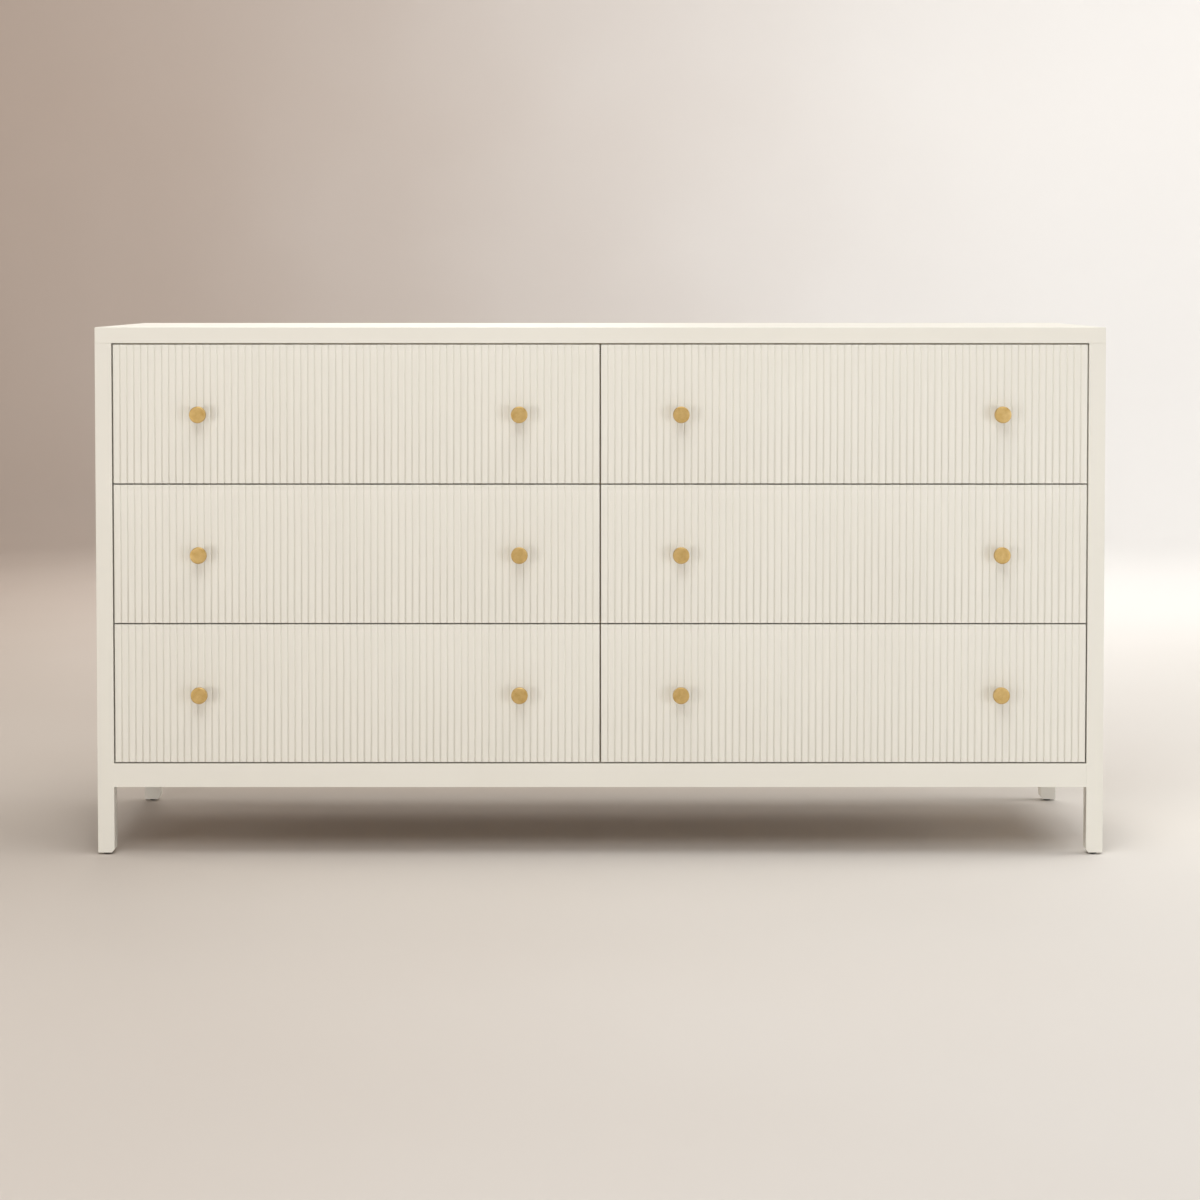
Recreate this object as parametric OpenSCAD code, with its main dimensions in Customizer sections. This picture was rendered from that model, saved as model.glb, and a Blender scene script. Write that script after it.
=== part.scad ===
// Low six-drawer dresser with reeded fronts, on full-extension slides.
// Millimetres. +Z is up, the drawers open towards -Y, and +X is to the right seen from the front.
// The origin is on the floor, under the middle of the whole object with its knobs.

/* [Case] */
// Width over the posts
case_w = 1524; // [1270:1:1830]
// Depth from the face of the fronts to the back
case_d = 457; // [380:1:550]
// Height from the floor to the top's upper face
case_h = 800; // [665:1:960]
// Thickness of the top
top_t = 24; // [19:1:30]
// Side of the square posts
post_w = 25; // [21:1:30]
// Height of the rails' lower edge above the floor
rail_z = 103; // [80:1:130]
// Height of the rails
rail_h = 36; // [30:1:45]
// Thickness of the rails
rail_t = 20; // [16:1:24]
// Thickness of the side panels, which are flush with the posts inside the case
side_t = 18; // [15:1:21]
// Thickness of the centre divider
divider_t = 19; // [15:1:25]
// Thickness of the bottom panel
floor_t = 12; // [9:1:15]
// Thickness of the back panel
back_t = 5; // [3:0.5:6]
// Thickness of the stretchers under the top
stretcher_t = 18; // [15:1:22]
// Width of the stretchers under the top
stretcher_w = 90; // [75:1:110]
// Width of the chamfer on the inner lower edge of a leg
leg_chamfer_w = 4; // [1:0.5:6]
// Height of the chamfer on the inner lower edge of a leg
leg_chamfer_h = 5; // [1:0.5:8]

/* [Drawer fronts] */
// Gap between the fronts, and between them and the case
gap = 2; // [1.5:0.1:3]
// Thickness of a front over its reeds
front_t = 20; // [18:1:24]
// Reed pitch to come close to, so that a whole number of reeds fills a front
reed_pitch_goal = 10.5; // [8:0.5:20]
// Depth of the groove between two reeds
reed_depth = 1.75; // [1:0.25:5]
// Width of the flat at the bottom of a groove
groove_w = 0.5; // [0.4:0.1:2]

/* [Knobs] */
// Diameter of a knob
knob_d = 25; // [20:1:30]
// How far a knob stands out from its front
knob_proj = 27; // [22:1:32]
// Reed that the outer knob sits on, counted from the front's outer edge
knob_reed_outer = 13; // [6:1:18]
// Reed that the inner knob sits on, counted from the front's inner edge
knob_reed_inner = 12; // [6:1:18]

/* [Drawer boxes] */
// Thickness of the box boards
box_t = 12; // [10:1:15]
// Height of a box's lower edge above its front's lower edge
box_lift = 22; // [15:1:30]
// Height of a front's upper edge above its box's
box_drop = 38; // [30:1:45]
// Thickness of a drawer bottom
bottom_t = 5; // [4:0.5:6]
// Height of a drawer bottom above its box's lower edge
bottom_lift = 10; // [8:1:14]

/* [Slides] */
// Side space that a slide takes
slide_w = 12.7; // [12.7:0.1:13.5]
// Height of a slide
slide_h = 45; // [40:1:50]
// Sheet thickness of a slide
slide_sheet = 1.2; // [1:0.1:1.5]

/* [Feet] */
// Diameter of a glide
glide_d = 12; // [10:1:18]
// Thickness of a glide
glide_h = 3; // [2:0.5:5]

/* [Hidden] */
$fn = 48;

// Fits
hole_fit = 0.05;     // between a fastener and its hole, on the radius
end_fit = 0.5;       // past the end of a dowel or a tongue, and round what only has to pass
glue_gap = 0.1;      // between boards that are glued
run_gap = 2;         // behind the closed fronts
over = 1;            // how far a cut runs past the face that it opens

// Grooves and rabbets
groove_d = 6;        // depth of the grooves that hold a panel
floor_lift = 10;     // bottom panel above the rails' lower edge
rabbet_w = 10;       // width of the rabbet for the back panel

// Fasteners: [shank diameter, length under or over the head, head diameter, head height]
top_screw = [4, 30, 8, 2.5];
back_screw = [3.5, 16, 7, 2.2];
divider_screw = [4, 35, 8, 2.4];
case_slide_screw = [4, 12, 8, 1.5];
box_slide_screw = [4, 10, 8, 1.5];
front_screw = [4, 24, 8, 2.5];
knob_screw_bite = 11; // of the knob's screw inside the knob
top_screw_inset = 90; // outer screws of the top, from the posts
back_screw_inset = 60; // outer screws of the back in the rails, from the posts
dowel_d = 6;
dowel_l = 30;
dowel_bite = 10;     // length of a stretcher's dowel inside the side panel
dowel_pitch = 20;    // between the two dowels of a front or rear rail's end
nail_d = 2.5;
nail_l = 15;

// Slides
slide_step = 50;     // slides are sold in lengths that differ by this
slide_set_back = 2;  // case member behind the front post
slide_rear_room = 5; // at least this much between the case member and the rear post
slide_screw_inset = 30;
slide_screw_stagger = 12; // so that screws from both sides of the divider miss each other
ball_gap = 2.3;      // for the balls between two members
head_room = 0.5;     // between a screw's head and the member that passes it
web_gap = 1.5;       // between a member's flanges and what they point at
lip_gap = 2.5;       // between the case member's flanges and the drawer box
box_tail = 10;       // of the box behind its slides

// The case
total_d = case_d + knob_proj;
y_face = knob_proj - total_d / 2;
y_back = total_d / 2;
x_out = case_w / 2;
x_post = x_out - post_w;
z_opening = rail_z + rail_h;
z_under = case_h - top_t;
z_floor = rail_z + floor_lift;
z_stretcher = z_under - stretcher_t;
z_back_screws = [z_opening - rabbet_w / 2, z_under - stretcher_t / 2];
y_inside = y_face + front_t + run_gap;
y_back_in = y_back - back_t;

// The fronts
rows = ["top", "middle", "bottom"];
columns = ["left", "right"];
every_row = [0:len(rows) - 1];
every_column = [0:len(columns) - 1];
front_w = (2 * x_post - 3 * gap) / 2;
front_h = (z_under - z_opening - (len(rows) + 1) * gap) / len(rows);
reed_count = round(front_w / reed_pitch_goal);
reed_pitch = front_w / reed_count;
reed_steps = 8;      // flats round one reed
reed_power = 3;      // a superellipse: 2 would be a true ellipse, more is flatter on top
function front_z(row) = z_under - (row + 1) * (front_h + gap);

// The slides and the boxes, for the right-hand column
slide_y = y_face + max(post_w, front_t) + slide_set_back;
slide_l = slide_step * floor((y_back - post_w - slide_rear_room - slide_y) / slide_step);
box_x0 = divider_t / 2 + slide_w;
box_x1 = x_post - slide_w;
box_y0 = y_face + front_t;
box_l = slide_l + box_tail;
box_h = front_h - box_lift - box_drop;
slide_z = box_lift + box_h / 2;
mid_u = slide_sheet + case_slide_screw[3] + head_room; // from the mounting face to the middle member
mid_h = slide_h - 2 * (slide_sheet + ball_gap);
inner_h = mid_h - 2 * (slide_sheet + ball_gap);
slide_ends = [slide_screw_inset, slide_l / 2, slide_l - slide_screw_inset];

// Where the knobs and the front's screws are, for the right-hand column
knob_x = [gap / 2 + (knob_reed_inner - 0.5) * reed_pitch,
          gap / 2 + front_w - (knob_reed_outer - 0.5) * reed_pitch];
knob_screw = [4, front_t + box_t + knob_screw_bite, 8, 2.5];
front_screw_inset = 50;
front_screw_edge = 30;
front_screw_x = [box_x0 + front_screw_inset, box_x1 - front_screw_inset];
front_screw_z = [box_lift + front_screw_edge, box_lift + box_h - front_screw_edge];

paint = "#e6dfd0";
birch = "#dcc39a";
zinc = "#b9bcc0";
brass = "#bd9a55";
black = "#1c1c1c";

case_nodes = ["top_panel", "post_front_left", "post_front_right", "post_rear_left", "post_rear_right",
              "side_panel_left", "side_panel_right", "rail_front", "rail_rear", "side_rails",
              "centre_divider", "bottom_panel", "back_panel", "top_stretchers", "slides_case",
              "foot_glides", "case_dowels", "case_screws"];
drawer_parts = ["front", "box", "bottom", "knobs", "screws", "slide_inner", "slide_mid"];
function drawer_node(row, column, part) = str("drawer_", rows[row], "_", columns[column], "_", part);

// The middles of count equal shares of a length of 1.
function middles(count) = [for (share = [0.5:count]) share / count];

// From -1 to 1 in count places.
function across(count) = [for (place = [0:count - 1]) 2 * place / (count - 1) - 1];

// ---- Shapes that repeat ----

// A box between two corners.
module block(low, high) { translate(low) cube(high - low); }

// Both sides, mirrored left and right.
module both_sides() { for (side = [0, 1]) mirror([side, 0, 0]) children(); }

// A pan-head screw along +Z with its head's underside at 0. With a fit, the hole that its shank needs.
module pan_screw(size, fit = 0) {
    neck = size[3] / 2;
    translate([0, 0, -neck]) cylinder(d = size[0] + 2 * fit, h = neck + size[1] + (fit > 0 ? end_fit : 0));
    if (fit == 0) translate([0, 0, -size[3]]) cylinder(d = size[2], h = size[3]);
}

// A countersunk screw along +Z with its head's flat at 0. With a fit, the hole and countersink for it.
module flat_screw(size, fit = 0) {
    shank_r = size[0] / 2 + fit;
    head_r = size[2] / 2 + fit;
    tip = size[1] + (fit > 0 ? end_fit : 0);
    mouth = fit > 0 ? -over : 0;
    rotate_extrude() polygon(concat([[0, mouth], [head_r, mouth]], fit > 0 ? [[head_r, 0]] : [],
                                    [[shank_r, size[3]], [shank_r, tip], [0, tip]]));
}

// A dowel centred on the origin, along X or Y.
module dowel(along, fit = 0) {
    rotate(along == "x" ? [0, 90, 0] : [90, 0, 0])
        cylinder(d = dowel_d + 2 * fit, h = dowel_l + (fit > 0 ? 2 * end_fit : 0), center = true);
}

// A channel of bent sheet that runs along +Y, with its web at x = 0 and its flanges towards +X.
module channel(height, depth, length) {
    difference() {
        translate([0, 0, -height / 2]) cube([depth, length, height]);
        translate([slide_sheet, -over, slide_sheet - height / 2])
            cube([depth, length + 2 * over, height - 2 * slide_sheet]);
    }
}

// ---- Fasteners of the case, drawn solid, or as the room that they need ----

module case_dowel_set(fit = 0) {
    both_sides() {
        for (y = [y_face + rail_t / 2, y_back - rail_t / 2], z = [-dowel_pitch, dowel_pitch] / 2)
            translate([x_post, y, rail_z + rail_h / 2 + z]) dowel("x", fit);
        for (y = [y_face + post_w, y_back - post_w]) {
            translate([x_out - rail_t / 2, y, rail_z + rail_h / 2]) dowel("y", fit);
            for (share = middles(3))
                translate([x_post + side_t / 2, y, z_opening + share * (z_under - z_opening)])
                    dowel("y", fit);
        }
        // A stretcher's end may meet a post too, so its dowels stay where it meets the side panel.
        for (y = [y_inside + post_w, y_back_in - stretcher_w], share = middles(2))
            translate([x_post + dowel_bite - dowel_l / 2, y + share * (stretcher_w - post_w),
                       z_under - stretcher_t / 2]) dowel("x", fit);
    }
}

module top_screw_set(fit = 0) {
    for (x = across(4) * (x_post - top_screw_inset), y = [y_inside, y_back_in - stretcher_w])
        translate([x, y + stretcher_w / 2, z_stretcher]) pan_screw(top_screw, fit);
}

module divider_screw_set(fit = 0) {
    for (y = [y_inside, y_back_in - stretcher_w])
        translate([0, y + stretcher_w / 2, z_under]) rotate([180, 0, 0]) flat_screw(divider_screw, fit);
    for (share = middles(3))
        translate([0, y_inside + share * (y_back_in - y_inside), z_floor]) flat_screw(divider_screw, fit);
}

module back_screw_set(fit = 0) {
    post_x = x_post + rabbet_w / 2;
    into_posts = [for (x = [-post_x, post_x], share = middles(4))
                      [x, z_opening + share * (z_under - z_opening)]];
    into_rails = [for (x = across(4) * (x_post - back_screw_inset), z = z_back_screws) [x, z]];
    into_divider = [for (share = middles(3)) [0, z_opening + share * (z_stretcher - z_opening)]];
    for (spot = concat(into_posts, into_rails, into_divider))
        translate([spot[0], y_back, spot[1]]) rotate([90, 0, 0]) flat_screw(back_screw, fit);
}

module case_slide_screw_set(fit = 0) {
    for (row = every_row, column = every_column, end = slide_ends)
        mirror([column == 0 ? 1 : 0, 0, 0])
            translate([0, slide_y + end + (1 - column) * slide_screw_stagger, front_z(row) + slide_z]) {
                translate([divider_t / 2 + slide_sheet, 0, 0])
                    rotate([0, -90, 0]) pan_screw(case_slide_screw, fit);
                translate([x_post - slide_sheet, 0, 0])
                    rotate([0, 90, 0]) pan_screw(case_slide_screw, fit);
            }
}

module case_screw_set(fit = 0) {
    top_screw_set(fit);
    divider_screw_set(fit);
    back_screw_set(fit);
    case_slide_screw_set(fit);
}

// ---- The case ----

module top_panel() {
    color(paint) difference() {
        block([-x_out, y_face, z_under], [x_out, y_back, case_h]);
        top_screw_set(hole_fit);
    }
}

// One post. front is true for the two at the front, and the rear ones are rabbeted for the back panel.
module post(front, right) {
    y = front ? y_face : y_back - post_w;
    color(paint) difference() {
        mirror([right ? 0 : 1, 0, 0]) difference() {
            translate([0, y + post_w, 0]) rotate([90, 0, 0]) linear_extrude(post_w)
                polygon([[x_post + leg_chamfer_w, glide_h], [x_out, glide_h], [x_out, z_under],
                         [x_post, z_under], [x_post, glide_h + leg_chamfer_h]]);
            translate([x_post + post_w / 2, y + post_w / 2, glide_h - over])
                cylinder(d = nail_d + 2 * hole_fit, h = nail_l + end_fit + over);
            if (!front)
                block([x_post - over, y_back_in, z_opening - rabbet_w],
                      [x_post + rabbet_w, y_back + over, z_under + over]);
        }
        case_dowel_set(hole_fit);
        back_screw_set(hole_fit);
    }
}

module side_panel(right) {
    color(paint) difference() {
        mirror([right ? 0 : 1, 0, 0])
            block([x_post, y_face + post_w, z_opening], [x_post + side_t, y_back - post_w, z_under]);
        case_dowel_set(hole_fit);
        case_slide_screw_set(hole_fit);
    }
}

// The bottom panel's edge with room round it, which the rails are grooved for.
module floor_groove() {
    block([rail_t - groove_d - x_out, y_face + rail_t - groove_d, z_floor - glue_gap],
          [x_out - rail_t + groove_d, y_back - rail_t + groove_d, z_floor + floor_t + glue_gap]);
}

module rail_front() {
    color(paint) difference() {
        block([-x_post, y_face, rail_z], [x_post, y_face + rail_t, z_opening]);
        floor_groove();
        case_dowel_set(hole_fit);
    }
}

module rail_rear() {
    color(paint) difference() {
        block([-x_post, y_back - rail_t, rail_z], [x_post, y_back, z_opening]);
        block([-x_out, y_back_in, z_opening - rabbet_w], [x_out, y_back + over, z_opening + over]);
        floor_groove();
        case_dowel_set(hole_fit);
        back_screw_set(hole_fit);
    }
}

module side_rails() {
    color(paint) difference() {
        both_sides() block([x_out - rail_t, y_face + post_w, rail_z], [x_out, y_back - post_w, z_opening]);
        floor_groove();
        case_dowel_set(hole_fit);
    }
}

// The room that the four posts take, which the bottom panel is notched for.
module post_room() {
    both_sides() for (y = [y_face, y_back - post_w])
        block([x_post - end_fit, y - over, 0], [x_out + over, y + post_w + over, case_h]);
}

module centre_divider() {
    color(birch) difference() {
        block([-divider_t / 2, y_inside, z_floor + floor_t], [divider_t / 2, y_back_in, z_stretcher]);
        block([-divider_t, y_back - rail_t - end_fit, rail_z], [divider_t, y_back, z_opening + end_fit]);
        divider_screw_set(hole_fit);
        back_screw_set(hole_fit);
        case_slide_screw_set(hole_fit);
    }
}

module bottom_panel() {
    color(birch) difference() {
        block([rail_t - groove_d + end_fit - x_out, y_face + rail_t - groove_d + end_fit, z_floor],
              [x_out - rail_t + groove_d - end_fit, y_back - rail_t + groove_d - end_fit, z_floor + floor_t]);
        post_room();
        divider_screw_set(hole_fit);
    }
}

module back_panel() {
    color(birch) difference() {
        block([end_fit - x_post - rabbet_w, y_back_in, z_opening - rabbet_w + end_fit],
              [x_post + rabbet_w - end_fit, y_back, z_under]);
        back_screw_set(hole_fit);
    }
}

module top_stretchers() {
    color(birch) difference() {
        for (y = [y_inside, y_back_in - stretcher_w])
            block([-x_post, y, z_stretcher], [x_post, y + stretcher_w, z_under]);
        case_dowel_set(hole_fit);
        top_screw_set(hole_fit);
        divider_screw_set(hole_fit);
        back_screw_set(hole_fit);
    }
}

module slides_case() {
    color(zinc) difference() {
        both_sides() for (row = every_row) {
            translate([divider_t / 2, slide_y, front_z(row) + slide_z])
                channel(slide_h, slide_w - lip_gap, slide_l);
            translate([x_post, slide_y, front_z(row) + slide_z]) mirror([1, 0, 0])
                channel(slide_h, slide_w - lip_gap, slide_l);
        }
        case_slide_screw_set(hole_fit);
    }
}

module foot_glides() {
    color(black) both_sides() for (y = [y_face, y_back - post_w])
        translate([x_post + post_w / 2, y + post_w / 2, 0]) {
            cylinder(d = glide_d, h = glide_h);
            cylinder(d = nail_d, h = glide_h + nail_l);
        }
}

// ---- One drawer, drawn for the right-hand column with its front's lower edge at z = 0 ----

module in_drawer(row, column) {
    translate([0, 0, front_z(row)]) mirror([column == 0 ? 1 : 0, 0, 0]) children();
}

// Height of a reed above its groove at an angle round it, from 0 on one flank to 180 on the other.
function reed_point(angle) =
    let (half = (reed_pitch - groove_w) / 2, c = cos(angle), power = 2 / reed_power)
    [-sign(c) * half * pow(abs(c), power), reed_depth * pow(sin(angle), power)];

module knob_screw_set(fit = 0) {
    for (x = knob_x) translate([x, box_y0 + box_t, front_h / 2]) rotate([90, 0, 0])
        pan_screw(knob_screw, fit);
}

module front_screw_set(fit = 0) {
    for (x = front_screw_x, z = front_screw_z)
        translate([x, box_y0 + box_t, z]) rotate([90, 0, 0]) pan_screw(front_screw, fit);
}

module box_slide_screw_set(fit = 0) {
    for (end = slide_ends) translate([0, slide_y + end, slide_z]) {
        translate([box_x0 - slide_sheet, 0, 0]) rotate([0, 90, 0]) pan_screw(box_slide_screw, fit);
        translate([box_x1 + slide_sheet, 0, 0]) rotate([0, -90, 0]) pan_screw(box_slide_screw, fit);
    }
}

module drawer_front() {
    reeds = [for (reed = [0:reed_count - 1], step = [0:reed_steps])
                 let (spot = reed_point(180 * step / reed_steps))
                 [gap / 2 + (reed + 0.5) * reed_pitch + spot[0], y_face + reed_depth - spot[1]]];
    ends = [[gap / 2 + front_w, y_face + reed_depth], [gap / 2 + front_w, y_face + front_t],
            [gap / 2, y_face + front_t], [gap / 2, y_face + reed_depth]];
    color(paint) difference() {
        linear_extrude(front_h) polygon(concat(reeds, ends));
        knob_screw_set(hole_fit);
        front_screw_set(hole_fit);
    }
}

// The room for the drawer bottom's edge in the four boards.
module bottom_groove() {
    block([box_x0 + box_t - groove_d, box_y0 + box_t - groove_d, box_lift + bottom_lift - glue_gap],
          [box_x1 - box_t + groove_d, box_y0 + box_l - box_t + groove_d,
           box_lift + bottom_lift + bottom_t + glue_gap]);
}

module drawer_box() {
    top = box_lift + box_h;
    in_x0 = box_x0 + box_t;
    in_x1 = box_x1 - box_t;
    color(birch) difference() {
        union() {
            block([box_x0, box_y0, box_lift], [in_x0, box_y0 + box_l, top]);
            block([in_x1, box_y0, box_lift], [box_x1, box_y0 + box_l, top]);
            for (y = [box_y0, box_y0 + box_l - box_t])
                block([in_x0 + glue_gap, y, box_lift], [in_x1 - glue_gap, y + box_t, top]);
        }
        bottom_groove();
        knob_screw_set(hole_fit);
        front_screw_set(hole_fit);
        box_slide_screw_set(hole_fit);
    }
}

module drawer_bottom() {
    edge = groove_d - end_fit;
    low = box_lift + bottom_lift;
    color(birch) block([box_x0 + box_t - edge, box_y0 + box_t - edge, low],
                       [box_x1 - box_t + edge, box_y0 + box_l - box_t + edge, low + bottom_t]);
}

// Half of a knob's outline, from its foot on the front at 0 to its face at knob_proj.
function knob_outline() =
    let (foot_r = 5, foot_h = 1.5, foot_cone = 1, neck_r = 4, head_h = 8, ease = 1.5, flare_h = 6,
         rim_r = knob_d / 2 - ease, flare_r = knob_d / 2 - 2, head_y = knob_proj - head_h)
    concat([[0, 0], [foot_r, 0], [foot_r, foot_h], [neck_r, foot_h + foot_cone]],
           [for (turn = [0:15:90]) [neck_r + (flare_r - neck_r) * (1 - cos(turn)),
                                    head_y - flare_h * (1 - sin(turn))]],
           [for (turn = [-60:30:0]) [rim_r + ease * cos(turn), head_y + ease + ease * sin(turn)]],
           [for (turn = [0:22.5:90]) [rim_r + ease * cos(turn), knob_proj - ease + ease * sin(turn)]],
           [[0, knob_proj]]);

module drawer_knobs() {
    color(brass) difference() {
        for (x = knob_x) translate([x, y_face, front_h / 2]) rotate([90, 0, 0])
            rotate_extrude() polygon(knob_outline());
        knob_screw_set(hole_fit);
    }
}

module drawer_screws() {
    color(zinc) {
        knob_screw_set();
        front_screw_set();
        box_slide_screw_set();
    }
}

module drawer_slide_inner() {
    depth = slide_w - mid_u - slide_sheet - web_gap;
    color(zinc) difference() {
        union() {
            translate([box_x0, slide_y, slide_z]) mirror([1, 0, 0]) channel(inner_h, depth, slide_l);
            translate([box_x1, slide_y, slide_z]) channel(inner_h, depth, slide_l);
        }
        box_slide_screw_set(hole_fit);
    }
}

module drawer_slide_mid() {
    depth = slide_w - mid_u - web_gap;
    color(zinc) {
        translate([divider_t / 2 + mid_u, slide_y, slide_z]) channel(mid_h, depth, slide_l);
        translate([x_post - mid_u, slide_y, slide_z]) mirror([1, 0, 0]) channel(mid_h, depth, slide_l);
    }
}

// ---- The nodes ----

top_panel();
post(true, false);  // post_front_left
post(true, true);  // post_front_right
post(false, false);  // post_rear_left
post(false, true);  // post_rear_right
side_panel(false);  // side_panel_left
side_panel(true);  // side_panel_right
rail_front();
rail_rear();
side_rails();
centre_divider();
bottom_panel();
back_panel();
top_stretchers();
slides_case();
foot_glides();
color(birch) case_dowel_set();  // case_dowels
color(zinc) case_screw_set();  // case_screws

for (row = every_row, column = every_column) in_drawer(row, column) {
    drawer_front();
    drawer_box();
    drawer_bottom();
    drawer_knobs();
    drawer_screws();
    drawer_slide_inner();
    drawer_slide_mid();
}
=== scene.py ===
import math

import bmesh
import bpy
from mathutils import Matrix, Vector


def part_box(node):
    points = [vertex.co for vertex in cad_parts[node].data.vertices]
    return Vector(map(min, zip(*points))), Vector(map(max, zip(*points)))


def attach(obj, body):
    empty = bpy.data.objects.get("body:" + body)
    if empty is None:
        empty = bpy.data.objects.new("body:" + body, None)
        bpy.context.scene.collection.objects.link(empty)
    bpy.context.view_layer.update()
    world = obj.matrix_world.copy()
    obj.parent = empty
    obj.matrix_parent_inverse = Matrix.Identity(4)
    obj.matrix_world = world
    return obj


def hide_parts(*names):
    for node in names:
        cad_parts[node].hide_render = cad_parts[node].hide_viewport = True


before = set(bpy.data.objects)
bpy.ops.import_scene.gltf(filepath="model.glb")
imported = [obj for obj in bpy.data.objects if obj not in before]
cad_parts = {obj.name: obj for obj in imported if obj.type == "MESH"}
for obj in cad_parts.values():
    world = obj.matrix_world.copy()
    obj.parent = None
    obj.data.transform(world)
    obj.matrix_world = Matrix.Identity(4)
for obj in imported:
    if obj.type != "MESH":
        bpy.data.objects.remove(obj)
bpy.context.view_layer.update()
mm = 0.001
rows = ["top", "middle", "bottom"]
columns = ["left", "right"]
joinWithin = 0.01 * mm  # corners this close are one corner
smoothBelow = {"turned": 35, "bent": 40, "round": 60}  # degrees; a sharper edge stays sharp
noiseSpan = (0.3, 0.7)  # nearly all of a noise texture's values lie between these
print("Frame loaded with", len(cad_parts), "nodes")


# in metres, with the lens in mm, the shifts in frame widths and the tilt down in degrees
cameraPlace = {"lens": 82.46, "shiftX": -0.0002, "shiftY": -0.175, "away": 4.3557, "height": 0.8665,
               "down": 2.226, "reach": 60}


def makeCamera():
    data = bpy.data.cameras.new("frontCamera")
    data.lens = cameraPlace["lens"]
    data.shift_x = cameraPlace["shiftX"]
    data.shift_y = cameraPlace["shiftY"]
    data.clip_end = cameraPlace["reach"]
    camera = bpy.data.objects.new("frontCamera", data)
    camera.location = (0, -cameraPlace["away"], cameraPlace["height"])
    camera.rotation_euler = (math.radians(90 - cameraPlace["down"]), 0, 0)
    bpy.context.scene.collection.objects.link(camera)
    bpy.context.scene.camera = camera


makeCamera()
print("Camera placed")


def addNode(tree, kind, inputs=(), out=None, **settings):
    # adds a node and gives its first output, or the one named; inputs are in order, or by identifier
    node = tree.nodes.new(kind)
    for name, value in settings.items():
        setattr(node, name, value)
    while hasattr(node, "index_switch_items") and len(node.index_switch_items) < len(inputs) - 1:
        node.index_switch_items.new()
    sockets = [socket for socket in node.inputs if socket.enabled]
    if isinstance(inputs, dict):
        named = {socket.identifier: socket for socket in sockets}
        pairs = [(named[name], value) for name, value in inputs.items()]
    else:
        pairs = zip(sockets, inputs)
    for socket, value in pairs:
        if isinstance(value, bpy.types.NodeSocket):
            tree.links.new(value, socket)
        else:
            socket.default_value = hexColour(value) if socket.type == "RGBA" else value
    outputs = [socket for socket in node.outputs if socket.enabled]
    return node.outputs[out] if out else (outputs or [None])[0]


def hexColour(code):
    # sRGB hex to the linear colour that a socket takes
    levels = [int(code[i:i + 2], 16) / 255 for i in (0, 2, 4)]
    return [c / 12.92 if c <= 0.04045 else ((c + 0.055) / 1.055) ** 2.4 for c in levels] + [1]


def newMaterial(name, constants):
    # a material and its shader; the constants go straight onto the shader's sockets
    material = bpy.data.materials.new(name)
    material.use_nodes = True
    shader = material.node_tree.nodes["Principled BSDF"]
    for socket, value in constants.items():
        shader.inputs[socket].default_value = value
    return material, material.node_tree, shader


# Cream lacquer sprayed on MDF and poplar: one even satin colour, with the faint peel of a sprayed coat.
# Real peel is finer than the render shows, so it is drawn 3 mm wide.
lacquerLook = {"light": "e9e7de", "dark": "e3e0d6", "cloud": 240 * mm, "peel": 3 * mm, "peelDepth": 0.01 * mm,
               "smooth": 0.36, "rough": 0.46}


def creamLacquer():
    look = lacquerLook
    material, tree, shader = newMaterial("satinCreamLacquer", {"IOR": 1.5})
    place = addNode(tree, "ShaderNodeTexCoord", out="Object")
    cloud = addNode(tree, "ShaderNodeTexNoise", {"Vector": place, "Scale": 1 / look["cloud"], "Detail": 3})
    peel = addNode(tree, "ShaderNodeTexNoise", {"Vector": place, "Scale": 1 / look["peel"], "Detail": 2})
    colour = addNode(tree, "ShaderNodeMix", [cloud, look["light"], look["dark"]], data_type="RGBA")
    rough = addNode(tree, "ShaderNodeMapRange", [cloud, *noiseSpan, look["smooth"], look["rough"]])
    bump = addNode(tree, "ShaderNodeBump", {"Height": peel, "Distance": look["peelDepth"]})
    tree.links.new(colour, shader.inputs["Base Color"])
    tree.links.new(rough, shader.inputs["Roughness"])
    tree.links.new(bump, shader.inputs["Normal"])
    return material


# Birch, planed and clear sealed: pale and close-grained, with long wavy rings, silky streaks and short
# flecks. The grain runs along x of woodPlace, which every wooden piece carries.
birchLook = {"pale": "eedfc4", "warm": "dfc8a0", "fleck": "c2a273", "cross": "cbad82", "glue": "8d6c45",
             "ringLength": 700 * mm, "ringWidth": 70 * mm, "ringDetail": 1.5, "rings": 13, "ringShare": 0.9,
             "streakLength": 120 * mm, "streakWidth": 2.4 * mm, "streakDetail": 3,
             "fleckLength": 7 * mm, "fleckWidth": 0.8 * mm, "fleckDetail": 1, "fleckShare": 0.35,
             "grainSpan": (0.35, 1.05), "fleckSpan": (0.6, 0.75), "glueSpan": (0.06, 0.12), "glueShare": 0.7,
             "grainDepth": 0.03 * mm, "smooth": 0.42, "rough": 0.55}


def stretchedNoise(tree, place, length, width, detail):
    # noise drawn out along the grain
    scale = (1 / length, 1 / width, 1 / width)
    drawn = addNode(tree, "ShaderNodeMapping", {"Vector": place, "Scale": scale})
    return addNode(tree, "ShaderNodeTexNoise", {"Vector": drawn, "Scale": 1, "Detail": detail})


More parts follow.
